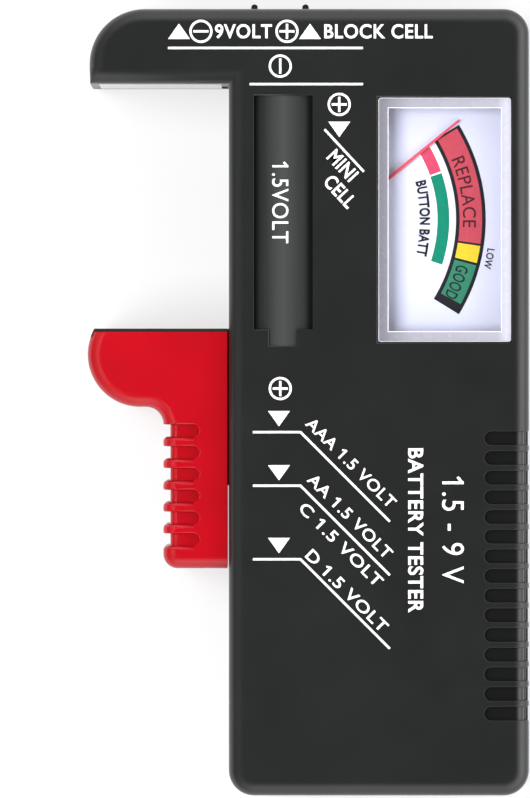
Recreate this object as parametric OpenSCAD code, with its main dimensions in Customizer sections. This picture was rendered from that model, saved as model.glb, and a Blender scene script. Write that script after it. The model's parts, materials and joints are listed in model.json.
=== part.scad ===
// Pocket battery tester with a spring-loaded jaw and a moving-coil meter.
// The tester lies on its back: +Z comes out of its face and +Y points to the end that holds the
// nine volt contacts. The origin is below its middle, on the plane of its back.

/* [Case] */
// Width of the case, without the arm
case_w = 41.6; // [40:0.1:46]
// Length of the case
case_l = 109; // [107:0.5:114]
// Thickness from the back to the face
case_t = 25; // [25:0.5:28]
// Thickness of the moulded walls
wall = 2; // [1.8:0.1:2.2]
// Radius of the edges round the face and the back
edge_r = 2; // [1:0.1:2.4]
// Radius of the corners seen from the front
corner_r = 3.5; // [2.5:0.1:5]

/* [Arm] */
// Reach of the fixed arm beyond the case
arm_reach = 19.6; // [18:0.1:22]
// Width of the arm, along the case
arm_h = 10.4; // [10:0.1:12]
// Radius of the arm's outer shoulder
nose_r = 8; // [6:0.5:8]

/* [Slider] */
// Thickness of the sliding jaw
slider_t = 20; // [16:0.5:20]
// Opening between the two contacts as the tester is drawn
jaw_gap = 33.86; // [25:0.01:34]
// Length of the sliding jaw
slider_l = 33.3; // [30:0.1:36]
// Width of the thumb grip below the jaw
stem_w = 9; // [8:0.1:11]
// Thickness of the contact strips
strip_t = 0.5; // [0.4:0.1:0.6]

/* [Meter] */
// Width of the meter window
window_w = 18.6; // [16:0.1:19]
// Length of the meter window
window_l = 34; // [30:0.1:34]
// Length of the pointer from its pivot
pointer_l = 21.7; // [19:0.1:21.9]
// Angle of the pointer at rest, above the X axis
pointer_rest = 39.4; // [30:0.1:40]

/* [Grips] */
// Grooves down the side of the case
grip_count = 15; // [8:1:16]
// Distance from one case groove to the next
grip_pitch = 2.72; // [2.4:0.01:2.9]
// Grooves in the thumb grip
thumb_count = 6; // [3:1:6]
// Distance from one thumb groove to the next
thumb_pitch = 3.02; // [2.4:0.01:3.1]

/* [Nine volt contacts] */
// Distance between the two contact blades
blade_gap = 7.1; // [6:0.1:8]
// Height of the blades above the end of the case
blade_stand = 0.9; // [0.5:0.1:1.5]

/* [Hidden] */
$fn = 48;

// Outside of the case
x_right = (case_w + arm_reach) / 2;
x_tip = -x_right;
x_left = x_right - case_w;
y_bottom = -(case_l + blade_stand) / 2;
y_top = y_bottom + case_l;
y_arm = y_top - arm_h;
split_z = case_t / 2;
face_in = case_t - wall;
lip_gap = 0.1;
cut = 1;

// Case screws: places, radii and heights
case_screw_at = [
    [-18.5, y_arm + arm_h / 2],
    [x_right - 5.2, y_top - 5.4],
    [x_right - 5.2, y_bottom + 5.4],
    [x_left + 5.2, y_bottom + 5.4]
];
case_screw_r = 1.3;
case_screw_head_r = 2.5;
case_screw_head_t = 1.8;
case_screw_seat = 3.4;
case_screw_tip = 18.4;
case_boss_r = 3;

// Sliding jaw
slider_top = y_arm - jaw_gap - strip_t;
slider_bottom = slider_top + strip_t - slider_l;
slider_z0 = (case_t - slider_t) / 2;
slider_z1 = slider_z0 + slider_t;
slider_right = x_left - 0.2;
head_r = 7.3;
head_x = x_tip + head_r;
head_y = slider_top - 3.1;
head_bottom = head_y - head_r;
stem_left = slider_right - stem_w + 0.1;
slider_edge_r = 1.6;
fillet_r = 2.4;
thumb_depth = 1;
thumb_h = 1.7;
thumb_first = head_bottom - 2.43;
thumb_inner = stem_left + 5;

// Slot in the case wall, and the travel of the jaw
travel_down = slider_bottom - y_bottom - 0.1;
travel_up = jaw_gap - 0.2;
neck_h = 21.3;
neck_z0 = split_z - 3.2;
neck_z1 = split_z + 3.2;
slot_z0 = split_z - 3.5;
slot_z1 = split_z + 3.5;
slot_y0 = slider_top - neck_h - travel_down - 0.3;
slot_y1 = slider_top + strip_t + travel_up + 0.3;
flange_x0 = x_left + wall + 0.2;
flange_x1 = flange_x0 + 2.6;
flange_z0 = 6;
flange_z1 = 19;
lug_x1 = flange_x1 + 2.7;
lug_z0 = 2.9;
lug_z1 = 5.6;
lug_h = 2;

// Contact strips inside the case
rail_x0 = flange_x0 + 0.2;
rail_x1 = flange_x1 - 0.2;
rail_t = 0.4;
rail_y0 = slot_y0 - 1.4;
rail_y1 = slot_y1 + 0.6;
wiper_t = 0.4;
tab_x = x_left - 2.8;
blade_t = 0.9;
blade_w = 8;
blade_x = [x_left + 3.57, x_left + 3.57 + blade_gap];

// Extension spring of the jaw
spring_x = flange_x1 + 1.9;
spring_z = 4.2;
spring_r = 1.3;
spring_wire = 0.45;
spring_turns = 26;
spring_steps = 10;
spring_hook = 1.6;
spring_y0 = slider_top - neck_h + lug_h;
spring_y1 = y_top - 6.8;

// Grip grooves of the case
grip_h = 1.87;
grip_first = -4.5;
grip_inner = x_right - 6.2;
grip_depth = 0.7;
grip_z0 = case_t - 6;

// Cell outline sunk into the face
cell_x0 = x_left + 3.5;
cell_x1 = cell_x0 + 8.1;
cell_y0 = 9.65;
cell_y1 = 41.95;
cell_nub = 3.9;
cell_nub_h = 2.3;
cell_depth = 1.2;
cell_crown = 1;

// Meter body, under the face
window_x1 = x_right - 2.4;
window_x0 = window_x1 - window_w;
window_y0 = 7.8;
window_y1 = window_y0 + window_l;
pivot_x = window_x0 - 5.4;
pivot_y = (window_y0 + window_y1) / 2 + 0.1;
meter_x0 = pivot_x - 7.7;
meter_x1 = x_right - wall - 0.4;
meter_y0 = window_y0 - 1.1;
meter_y1 = window_y1 + 1.1;
meter_z0 = 6;
meter_z1 = 19.4;
meter_wall = 1.2;
rim = 1.3;
meter_lid = 1;
glass_top = case_t - 0.4;
dial_z = 20.5;
dial_t = 0.5;
dial_x0 = window_x0 + 0.15;
ear_r = 2.4;
ear_t = 1.4;
ear_x = window_x0 + 3.5;
ear_y = [meter_y0 - 2.7, meter_y1 + 2.7];
meter_screw_r = 1;
terminal_x = window_x0 + 10.5;
terminal_y = [pivot_y - 11, pivot_y + 11];

// Meter movement, stacked up from the floor of the meter case
floor_z = meter_z0 + meter_wall;
ring_r = 6.2;
ring_in = 5.3;
ring_z1 = 18.4;
magnet_r = 3.8;
magnet_z0 = 10.9;
magnet_z1 = 16.9;
coil_half = 5;
coil_side = 0.8;
coil_z0 = 9.8;
coil_z1 = 18;
coil_w = 1.8;
former_w = 2.4;
former_t = 0.25;
shaft_r = 0.35;
root_z = 18.15;
root_t = 0.3;
hair_z = 18.6;
hair_t = 0.4;
hair_turns = 4;
bridge_z = 19.3;
bridge_t = 0.8;
bridge_w = 2.4;
pointer_z = 21.3;
pointer_t = 0.3;
pointer_w = 0.55;
riser_r = 4.75;
hub_r = 1;

// Circuit board and its parts
board_x0 = 2.5;
board_x1 = 27;
board_y0 = -23.5;
board_y1 = 1.5;
board_z = 13;
board_t = 1.6;
board_screw_at = [[5, -1], [24.4, -20.6]];
board_screw_r = 1;
resistor_r = 1.2;
resistor_l = 6.5;
resistor_x = 16;
resistor_lead = 4.6;
resistor_y = [-9.5, -13.5, -17.5];

// Insulated wires, each from its contact to the board
wire_r = 0.6;
route_arm_contact = [
    [-13.2, 47.4, 12.6], [-9.5, 47, 13.8], [-4, 46.2, 15.6], [3, 46, 14.4], [8, 45.8, 10],
    [11, 44.6, 5.4], [11.5, 41, 3.4], [11, 30, 3.2], [10, 15, 3.2], [9, 3, 4.2],
    [8.6, -2, 8], [8.5, -4, 12.9]
];
route_nine_volt_negative = [
    [-7.4, 48.6, 10.6], [-8.2, 47.3, 10.2], [-10.6, 47, 10], [-13.1, 47.4, 10.9]
];
route_nine_volt_positive = [
    [-0.3, 48.6, 12.4], [0.6, 47.4, 12], [6, 47.6, 8], [14.4, 46, 5], [16, 42, 3.4],
    [16, 20, 3.2], [15.4, 4, 4], [14.6, -2, 8], [14.5, -4, 12.9]
];
route_contact_rail = [
    [-2.6, -44.6, 3.2], [0, -42, 3.4], [6, -34, 4], [10, -27, 7], [11, -22.2, 10.4], [11, -21.6, 12.9]
];
route_meter_positive = [
    [21.6, 13.8, 4.3], [22, 8, 4], [21, 2, 5], [20.6, -2.4, 8.6], [20.5, -4, 12.9]
];
route_meter_negative = [
    [21.6, 35.8, 4.3], [23.6, 30, 4], [25, 18, 3.8], [25, 6, 4.4], [24.4, -1.4, 8],
    [24.2, -4, 12.9]
];

// ---- Shapes shared by several parts ----

// Rounded rectangle between two corners
module soft_rect(x0, y0, x1, y1, r) {
    translate([x0 + r, y0]) square([x1 - x0 - 2 * r, y1 - y0]);
    translate([x0, y0 + r]) square([x1 - x0, y1 - y0 - 2 * r]);
    for (x = [x0 + r, x1 - r], y = [y0 + r, y1 - r])
        translate([x, y]) circle(r);
}

// Box between two corners
module span(low, high) {
    translate(low) cube(high - low);
}

// Child outline extruded along X or along Y, between two places
module along_x(x0, x1) {
    translate([x0, 0, 0]) rotate([90, 0, 90]) linear_extrude(x1 - x0) children();
}

module along_y(y0, y1) {
    translate([0, y1, 0]) rotate([90, 0, 0]) linear_extrude(y1 - y0) children();
}

// Block with the child's outline, its edges rounded towards the face, the back and the sides
module soft_block(x0, x1, y0, y1, z0, z1, r) {
    intersection() {
        translate([0, 0, z0]) linear_extrude(z1 - z0) children();
        along_y(y0 - cut, y1 + cut) soft_rect(x0, z0, x1, z1, r);
        along_x(x0 - cut, x1 + cut) soft_rect(y0, z0, y1, z1, r);
    }
}

// Pan head screw along +Z with its head's underside at z = 0 and a cross recess
module screw(r, length, head_r, head_t) {
    cylinder(r = r, h = length);
    difference() {
        translate([0, 0, -head_t]) cylinder(r1 = head_r * 0.86, r2 = head_r, h = head_t);
        for (turn = [0, 90])
            rotate(turn) translate([-head_r * 0.55, -0.25, -head_t - cut]) cube([head_r * 1.1, 0.5, cut + head_t * 0.5]);
    }
}

// Unit vector, and the direction of a route at one of its points
function unit(v) = v / norm(v);
function heading(p, i) = unit(p[min(i + 1, len(p) - 1)] - p[max(i - 1, 0)]);

// Smooth curve through the points of a route, with a few steps from each point to the next
function curve_point(a, b, c, d, t) =
    0.5 * (2 * b + (c - a) * t + (2 * a - 5 * b + 4 * c - d) * t * t + (3 * b - a - 3 * c + d) * t * t * t);
function smooth(p, steps) = concat(
    [for (i = [0:len(p) - 2], s = [0:steps - 1])
        curve_point(p[max(i - 1, 0)], p[i], p[i + 1], p[min(i + 2, len(p) - 1)], s / steps)],
    [p[len(p) - 1]]
);

// Round bar swept along a list of points
module sweep(p, r, sides, up) {
    last = len(p) - 1;
    rings = [for (i = [0:last])
        let (t = heading(p, i), u = unit(cross(up, t)), v = cross(t, u))
        [for (k = [0:sides - 1]) p[i] + r * (cos(360 * k / sides) * u + sin(360 * k / sides) * v)]];
    polyhedron(
        points = [for (ring = rings) each ring],
        faces = concat(
            [[for (k = [0:sides - 1]) k]],
            [[for (k = [sides - 1:-1:0]) last * sides + k]],
            [for (i = [0:last - 1], k = [0:sides - 1])
                let (a = i * sides + k, b = i * sides + (k + 1) % sides)
                [a, a + sides, b + sides]],
            [for (i = [0:last - 1], k = [0:sides - 1])
                let (a = i * sides + k, b = i * sides + (k + 1) % sides)
                [a, b + sides, b]]
        )
    );
}

// ---- Case ----

module case_outline() {
    soft_rect(x_left, y_bottom, x_right, y_top, corner_r);
}

module arm_outline() {
    translate([x_tip + nose_r, y_top - nose_r]) circle(nose_r);
    translate([x_tip + nose_r, y_arm]) square([x_left - x_tip, arm_h]);
    translate([x_tip, y_arm]) square([nose_r, arm_h - nose_r]);
}

module case_solid() {
    soft_block(x_left, x_right, y_bottom, y_top, 0, case_t, edge_r) case_outline();
    soft_block(x_tip, x_left + nose_r, y_arm, y_top, 0, case_t, edge_r) arm_outline();
}

module case_hollow() {
    span([x_left + wall, y_bottom + wall, wall], [x_right - wall, y_top - wall, face_in]);
    span([x_tip + 6, y_arm + wall, wall], [x_left + wall + cut, y_top - wall, face_in]);
}

// Grooves that wrap the front cover's right edge, cut to an even depth
module case_grooves() {
    difference() {
        for (i = [0:grip_count - 1])
            translate([0, grip_first - grip_pitch * i - grip_h, grip_z0]) {
                span([grip_inner + grip_h / 2, 0, 0], [x_right + cut, grip_h, case_t]);
                translate([grip_inner + grip_h / 2, grip_h / 2, 0]) cylinder(d = grip_h, h = case_t);
            }
        along_y(y_bottom, y_top) soft_rect(
            x_left, grip_depth, x_right - grip_depth, case_t - grip_depth, edge_r - grip_depth
        );
    }
}

// Openings that both covers share: the slot of the jaw and the seats of the contacts
module case_openings() {
    span([x_left - cut, slot_y0, slot_z0], [x_left + wall + cut, slot_y1, slot_z1]);
    arm_contact_shape();
    for (x = blade_x) blade_shape(x);
}

module front_cover() {
    color([0.19, 0.2, 0.2])
    difference() {
        union() {
            difference() {
                case_solid();
                case_hollow();
            }
            front_bosses();
        }
        span([x_tip - cut, y_bottom - cut, -cut], [x_left + wall + 1.2, y_top + cut, split_z]);
        span([x_left + wall, y_bottom - cut, -cut], [x_right + cut, y_top + cut, split_z - 1.5]);
        difference() {
            span([x_left, y_bottom - cut, -cut], [x_right + cut, y_top + cut, split_z]);
            front_lips(lip_gap);
        }
        case_openings();
        case_grooves();
        span([window_x0, window_y0, face_in - cut], [window_x1, window_y1, case_t + cut]);
        cell_recess();
        for (at = case_screw_at)
            translate([at[0], at[1], -cut]) cylinder(r = case_screw_r, h = case_screw_tip + cut + 0.4);
        for (y = ear_y)
            translate([ear_x, y, 0]) cylinder(r = meter_screw_r, h = 22.2);
        for (at = board_screw_at)
            translate([at[0], at[1], 0]) cylinder(r = board_screw_r, h = 20);
    }
}

// Lips that keep the two covers in line, at a gap from the inside of the wall
module front_lips(gap) {
    span([x_right - wall - 1.1, -46, 0], [x_right - wall - gap, 1, case_t]);
    span([4, y_bottom + wall + gap, 0], [20, y_bottom + wall + 1.1, case_t]);
    span([5, y_top - wall - 1.1, 0], [20, y_top - wall - gap, case_t]);
}

// Posts, guide rib, stiffeners and lips that stand on the inside of the face
module front_bosses() {
    for (at = case_screw_at)
        translate([at[0], at[1], split_z]) cylinder(r = case_boss_r, h = face_in - split_z);
    for (y = ear_y)
        translate([ear_x, y, meter_z1]) cylinder(r = ear_r, h = face_in - meter_z1);
    for (at = board_screw_at)
        translate([at[0], at[1], board_z + board_t]) cylinder(r = 2.2, h = face_in - board_z - board_t);
    span([flange_x1 + 0.3, slot_y0, split_z], [flange_x1 + 1.3, slot_y1, face_in]);
    for (y = [-30, -38])
        span([flange_x1 + 1.3, y, face_in - 4], [x_right - wall, y + 1.2, face_in]);
    intersection() {
        front_lips(lip_gap);
        span([x_left, y_bottom, split_z - 1.5], [x_right, y_top, split_z + 3]);
    }
    // Root of each lip, sunk into the wall above the split line
    intersection() {
        front_lips(-0.5);
        span([x_left, y_bottom, split_z], [x_right, y_top, split_z + 3]);
    }
}

// Cell outline with a crowned floor
module cell_recess() {
    crown_r = (pow((cell_x1 - cell_x0) / 2, 2) + cell_crown * cell_crown) / (2 * cell_crown);
    crown_x = (cell_x0 + cell_x1) / 2;
    difference() {
        union() {
            span([cell_x0, cell_y0, case_t - cell_depth], [cell_x1, cell_y1, case_t + cut]);
            span([crown_x - cell_nub / 2, cell_y0 - cell_nub_h, case_t - cell_depth],
                 [crown_x + cell_nub / 2, cell_y0, case_t + cut]);
        }
        along_y(cell_y0 - cell_nub_h - cut, cell_y1 + cut)
            translate([crown_x, case_t - cell_depth + cell_crown - crown_r]) circle(crown_r, $fn = 96);
    }
}

module rear_cover() {
    color([0.17, 0.18, 0.18])
    difference() {
        union() {
            difference() {
                case_solid();
                case_hollow();
            }
            rear_bosses();
        }
        span([x_tip - cut, y_bottom - cut, split_z], [x_right + cut, y_top + cut, case_t + cut]);
        case_openings();
        for (at = case_screw_at) {
            translate([at[0], at[1], -cut]) cylinder(r = case_boss_r - 0.3, h = case_screw_seat + cut);
            translate([at[0], at[1], 0]) cylinder(r = case_screw_r + 0.2, h = case_t);
        }
    }
}

// Posts, the spring's anchor and stiffeners that stand on the inside of the back
module rear_bosses() {
    for (at = case_screw_at)
        translate([at[0], at[1], 0.5]) cylinder(r = case_boss_r + 0.6, h = split_z - 0.5);
    translate([spring_x, spring_y1, wall - 0.1]) cylinder(r = 0.85, h = 5);
    translate([spring_x, spring_y1, wall - 0.1]) cylinder(r = 1.7, h = 1.4);
    for (y = [-30, -38])
        span([13, y, wall - 0.1], [x_right - wall + 0.1, y + 1.2, wall + 4]);
}

module case_screws() {
    color("silver")
    for (at = case_screw_at)
        translate([at[0], at[1], case_screw_seat])
            screw(case_screw_r, case_screw_tip - case_screw_seat, case_screw_head_r, case_screw_head_t);
}

// ---- Contacts on the case ----

module arm_contact_shape() {
    span([x_tip + 1.6, y_arm - cut, 4], [x_left - 1, y_arm + strip_t, case_t - 4]);
    span([tab_x, y_arm, split_z - 2.5], [tab_x + strip_t, y_top - 5.4, split_z + 2.5]);
}

module arm_contact() {
    color([0.78, 0.77, 0.72])
    difference() {
        arm_contact_shape();
        span([x_tip, y_arm - 2 * cut, 0], [x_left, y_arm, case_t]);
    }
}

// Blade that stands out of the end of the case, with a shoulder inside
module blade_shape(x) {
    z0 = split_z - blade_w / 2;
    span([x - blade_t / 2, y_top - 5, z0], [x + blade_t / 2, y_top + blade_stand - blade_t / 2, z0 + blade_w]);
    translate([x, y_top + blade_stand - blade_t / 2, z0]) cylinder(d = blade_t, h = blade_w);
    span([x - 1.4, y_top - wall - 0.8, z0], [x + 1.4, y_top - wall, z0 + blade_w]);
}

module nine_volt_contact_negative() {
    color([0.7, 0.69, 0.65]) blade_shape(blade_x[0]);
}

module nine_volt_contact_positive() {
    color([0.7, 0.69, 0.65]) blade_shape(blade_x[1]);
}

// ---- Sliding jaw ----

module head_outline() {
    intersection() {
        union() {
            translate([head_x, head_y]) circle(head_r);
            translate([head_x, head_bottom]) square([slider_right - head_x, 2 * head_r]);
        }
        translate([x_tip - cut, head_bottom - cut]) square([case_w, slider_top - head_bottom + cut]);
    }
}

module stem_outline() {
    soft_rect(stem_left, slider_bottom, slider_right, slider_top, 1.3);
    translate([slider_right - 3, slider_bottom]) square([3, slider_top - slider_bottom]);
}

// Hollow curve between the thumb grip and the underside of the head
module fillet_outline() {
    difference() {
        translate([stem_left - fillet_r, head_bottom - fillet_r]) square([2 * fillet_r, 2 * fillet_r]);
        translate([stem_left - fillet_r, head_bottom - fillet_r]) circle(fillet_r);
    }
}

module thumb_grooves() {
    difference() {
        for (i = [0:thumb_count - 1])
            translate([0, thumb_first - thumb_pitch * i - thumb_h, slider_z0 - cut]) {
                span([stem_left - cut, 0, 0], [thumb_inner - thumb_h / 2, thumb_h, slider_t + 2 * cut]);
                translate([thumb_inner - thumb_h / 2, thumb_h / 2, 0]) cylinder(d = thumb_h, h = slider_t + 2 * cut);
            }
        along_y(y_bottom, y_top) soft_rect(
            stem_left + thumb_depth, slider_z0 + thumb_depth, slider_right, slider_z1 - thumb_depth, 1
        );
    }
}

module slider_grip() {
    color([0.82, 0.02, 0.13])
    difference() {
        union() {
            soft_block(x_tip, slider_right + 2 * slider_edge_r, head_bottom, slider_top + slider_edge_r,
                       slider_z0, slider_z1, slider_edge_r) head_outline();
            soft_block(stem_left, slider_right + 2 * slider_edge_r, slider_bottom,
                       slider_top + slider_edge_r, slider_z0, slider_z1, slider_edge_r) stem_outline();
            translate([0, 0, slider_z0]) linear_extrude(slider_t) fillet_outline();
            span([slider_right - 1, slider_top - neck_h, neck_z0], [flange_x0 + 1, slider_top, neck_z1]);
            span([flange_x0, slider_top - neck_h, flange_z0], [flange_x1, slider_top, flange_z1]);
            spring_lug();
        }
        thumb_grooves();
        contact_plate_shape();
    }
}

// Lug at the foot of the flange that the spring pulls on
module spring_lug() {
    y0 = slider_top - neck_h;
    difference() {
        union() {
            span([flange_x0 + 0.6, y0, lug_z0], [lug_x1, y0 + lug_h, lug_z1]);
            span([flange_x0 + 0.6, y0, lug_z1 - 0.1], [flange_x1, y0 + lug_h, flange_z0 + 0.1]);
        }
        translate([spring_x, y0 - cut, spring_z]) rotate([-90, 0, 0]) cylinder(r = 0.5, h = lug_h + 2 * cut);
    }
}

// Strip over the top of the jaw, round its tip, and in through the slot to the wiper
module contact_plate_shape() {
    translate([0, 0, slider_z0 + 1]) linear_extrude(slider_t - 2) {
        translate([head_x, slider_top]) square([slider_right - head_x, strip_t]);
        intersection() {
            translate([head_x, head_y]) circle(head_r);
            translate([x_tip, slider_top]) square([head_r, strip_t]);
        }
        difference() {
            intersection() {
                translate([head_x, head_y]) circle(head_r);
                translate([x_tip - cut, slider_top - 0.7]) square([3, 0.7 + strip_t]);
            }
            translate([head_x, head_y]) circle(head_r - strip_t);
        }
    }
    span([slider_right - cut, slider_top, split_z - 2.5], [rail_x1, slider_top + strip_t, split_z + 2.5]);
    span([rail_x0, slider_top, flange_z0 - wiper_t], [rail_x1, slider_top + strip_t, split_z + 2.5]);
}

module slider_contact_plate() {
    color([0.8, 0.8, 0.78]) contact_plate_shape();
}

// Leaf under the flange that rubs on the rail
module slider_wiper() {
    top = flange_z0;
    foot = wall + rail_t + 0.05;
    color([0.8, 0.62, 0.3])
    along_x(rail_x0, rail_x1) polygon([
        [slider_top, top], [slider_top, top - wiper_t], [slider_top - 5, top - wiper_t],
        [slider_top - 10, foot], [slider_top - 11, foot], [slider_top - 13, foot + 1],
        [slider_top - 13, foot + 1 + wiper_t], [slider_top - 11, foot + wiper_t],
        [slider_top - 10, foot + wiper_t], [slider_top - 5, top]
    ]);
}

module contact_rail() {
    color([0.8, 0.62, 0.3]) {
        span([rail_x0, rail_y0, wall], [rail_x1, rail_y1, wall + rail_t]);
        span([rail_x1 - 0.1, rail_y0, wall], [flange_x1 + 3.9, rail_y0 + 1.4, wall + rail_t]);
    }
}

// Extension spring with a straight hook at each end
module slider_spring() {
    coil_y0 = spring_y0 + spring_hook;
    coil_y1 = spring_y1 - 0.9 - spring_hook;
    coil = [for (i = [0:spring_turns * spring_steps])
        let (a = 360 * i / spring_steps, y = coil_y0 + (coil_y1 - coil_y0) * i / (spring_turns * spring_steps))
        [spring_x + spring_r * cos(a), y, spring_z + spring_r * sin(a)]];
    color([0.75, 0.76, 0.78])
    sweep(concat(
        [[spring_x, spring_y0 + 0.05, spring_z], [spring_x, spring_y0 + 1, spring_z]],
        coil,
        [[spring_x, spring_y1 - 1.9, spring_z], [spring_x, spring_y1 - 0.9, spring_z]]
    ), spring_wire / 2, 5, [0.31, 0.05, 0.95]);
}

// ---- Meter ----

module meter_case() {
    color([0.12, 0.12, 0.13])
    difference() {
        union() {
            difference() {
                span([meter_x0, meter_y0, meter_z0], [meter_x1, meter_y1, meter_z1]);
                span([meter_x0 + meter_wall, meter_y0 + meter_wall, floor_z],
                     [meter_x1 - meter_wall, meter_y1 - meter_wall, meter_z1 + cut]);
            }
            for (y = [meter_y0 + 3.6, meter_y1 - 3.6])
                translate([meter_x1 - 4.4, y, meter_z0]) cylinder(r = 1.5, h = dial_z - meter_z0);
            for (y = ear_y) meter_ear(y);
        }
        for (y = ear_y)
            translate([ear_x, y, 0]) cylinder(r = meter_screw_r + 0.15, h = case_t);
        for (y = terminal_y)
            translate([terminal_x, y, 0]) cylinder(r = 0.8, h = floor_z + cut);
        translate([pivot_x, pivot_y, 0]) cylinder(r = 0.8, h = floor_z + cut);
    }
}

module meter_ear(y) {
    edge = y < pivot_y ? meter_y0 : meter_y1;
    translate([ear_x, y, meter_z1 - ear_t]) cylinder(r = ear_r, h = ear_t);
    span([ear_x - ear_r, min(y, edge), meter_z1 - ear_t], [ear_x + ear_r, max(y, edge), meter_z1]);
}

// Clear lid with the raised window that fills the opening in the face
module meter_cover() {
    color([0.85, 0.9, 0.95, 0.35])
    difference() {
        union() {
            span([meter_x0, meter_y0, meter_z1], [meter_x1, meter_y1, face_in - 0.1]);
            translate([0, 0, face_in - cut]) linear_extrude(glass_top - face_in + cut)
                soft_rect(window_x0 + 0.1, window_y0 + 0.1, window_x1 - 0.1, window_y1 - 0.1, 0.4);
        }
        span([meter_x0 + meter_wall, meter_y0 + meter_wall, meter_z1 - cut],
             [meter_x1 - meter_wall, meter_y1 - meter_wall, face_in - 0.1 - meter_lid]);
        translate([0, 0, meter_z1]) linear_extrude(glass_top - 1.2 - meter_z1)
            soft_rect(window_x0 + rim, window_y0 + rim, window_x1 - rim, window_y1 - rim, 0.6);
    }
}

module meter_screws() {
    color("silver")
    for (y = ear_y)
        translate([ear_x, y, meter_z1 - ear_t]) screw(meter_screw_r, 22 - meter_z1 + ear_t, 1.9, 1.3);
}

module meter_terminals() {
    color([0.8, 0.65, 0.3])
    for (y = terminal_y)
        translate([terminal_x, y, 0]) {
            translate([0, 0, 4.6]) cylinder(r = 0.8, h = floor_z - 4.6 + 1.6);
            translate([0, 0, floor_z]) cylinder(r = 1.5, h = 0.8);
            translate([0, 0, meter_z0 - 0.8]) cylinder(r = 1.5, h = 0.8);
        }
}

module dial_plate() {
    color([0.83, 0.84, 0.9])
    span([dial_x0, meter_y0 + meter_wall + 0.1, dial_z],
         [meter_x1 - meter_wall - 0.1, meter_y1 - meter_wall - 0.1, dial_z + dial_t]);
}

// ---- Movement ----

module at_pivot(angle = 0) {
    translate([pivot_x, pivot_y, 0]) rotate(angle) children();
}

// Iron ring that closes the field, with two ribs that carry the magnet
module yoke_ring() {
    color([0.45, 0.46, 0.48])
    at_pivot() {
        difference() {
            translate([0, 0, floor_z]) cylinder(r = ring_r, h = ring_z1 - floor_z);
            translate([0, 0, floor_z - cut]) cylinder(r = ring_in, h = ring_z1 - floor_z + 2 * cut);
        }
        difference() {
            span([-ring_in - 0.2, -1.2, 12.4], [ring_in + 0.2, 1.2, 15.4]);
            translate([0, 0, floor_z]) cylinder(r = magnet_r, h = ring_z1 - floor_z);
        }
    }
}

module core_magnet() {
    color([0.3, 0.3, 0.32])
    at_pivot() translate([0, 0, magnet_z0]) cylinder(r = magnet_r, h = magnet_z1 - magnet_z0);
}

module lower_bearing() {
    color([0.8, 0.65, 0.3])
    at_pivot() {
        translate([0, 0, meter_z0 - 0.6]) cylinder(r = 0.8, h = 3.1);
        translate([0, 0, floor_z]) cylinder(r = 1.5, h = 0.8);
    }
}

// Strip across the top of the ring that holds the upper bearing
module bearing_bridge() {
    color([0.8, 0.65, 0.3])
    at_pivot() difference() {
        union() {
            span([-bridge_w / 2, -ring_r + 0.15, bridge_z], [bridge_w / 2, ring_r - 0.15, bridge_z + bridge_t]);
            for (side = [-1, 1])
                translate([0, side * (ring_r + ring_in) / 2, 0])
                    span([-bridge_w / 2, -0.3, ring_z1], [bridge_w / 2, 0.3, bridge_z + 0.1]);
        }
        cylinder(r = 0.8, h = case_t);
    }
}

module bridge_bearing() {
    color([0.85, 0.7, 0.35])
    at_pivot() translate([0, 0, bridge_z]) {
        cylinder(r = 0.8, h = bridge_t);
        translate([0, 0, bridge_t]) cylinder(r = 1.1, h = 0.4);
    }
}

// Copper winding, square to the pointer
module moving_coil() {
    color([0.72, 0.38, 0.2])
    at_pivot(pointer_rest) difference() {
        span([-coil_w / 2, -coil_half, coil_z0], [coil_w / 2, coil_half, coil_z1]);
        span([-coil_w, coil_side - coil_half, coil_z0 + coil_side], [coil_w, coil_half - coil_side, coil_z1 - coil_side]);
    }
}

// Aluminium former inside the winding
module coil_former() {
    inner = coil_half - coil_side;
    color([0.8, 0.8, 0.82])
    at_pivot(pointer_rest) difference() {
        span([-former_w / 2, -inner, coil_z0 + coil_side], [former_w / 2, inner, coil_z1 - coil_side]);
        span([-former_w, former_t - inner, coil_z0 + coil_side + former_t],
             [former_w, inner - former_t, coil_z1 - coil_side - former_t]);
    }
}

module coil_pivots() {
    color("silver")
    at_pivot() {
        translate([0, 0, meter_z0 + 2.55]) cylinder(r = shaft_r, h = coil_z0 - meter_z0 - 2.55);
        translate([0, 0, coil_z1]) cylinder(r = shaft_r, h = bridge_z - coil_z1 - 0.05);
    }
}

// Pointer with its hub, its riser past the bridge and two balance tails
module pointer() {
    half = pointer_w / 2;
    color([0.75, 0.22, 0.26])
    at_pivot(pointer_rest) {
        difference() {
            union() {
                translate([0, 0, root_z]) cylinder(r = hub_r, h = root_t);
                span([0, -half, root_z], [riser_r + pointer_t, half, root_z + root_t]);
                for (side = [-1, 1]) rotate(180 + side * 35) {
                    span([0, -0.25, root_z], [4.3, 0.25, root_z + root_t]);
                    translate([3.2, 0, root_z]) cylinder(r = 0.55, h = root_t);
                }
            }
            translate([0, 0, root_z - cut]) cylinder(r = shaft_r, h = 2 * cut);
        }
        span([riser_r, -half, root_z], [riser_r + pointer_t, half, pointer_z + pointer_t]);
        translate([0, 0, pointer_z]) linear_extrude(pointer_t)
            polygon([[riser_r, -half], [pointer_l, -0.14], [pointer_l, 0.14], [riser_r, half]]);
    }
}

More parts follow.
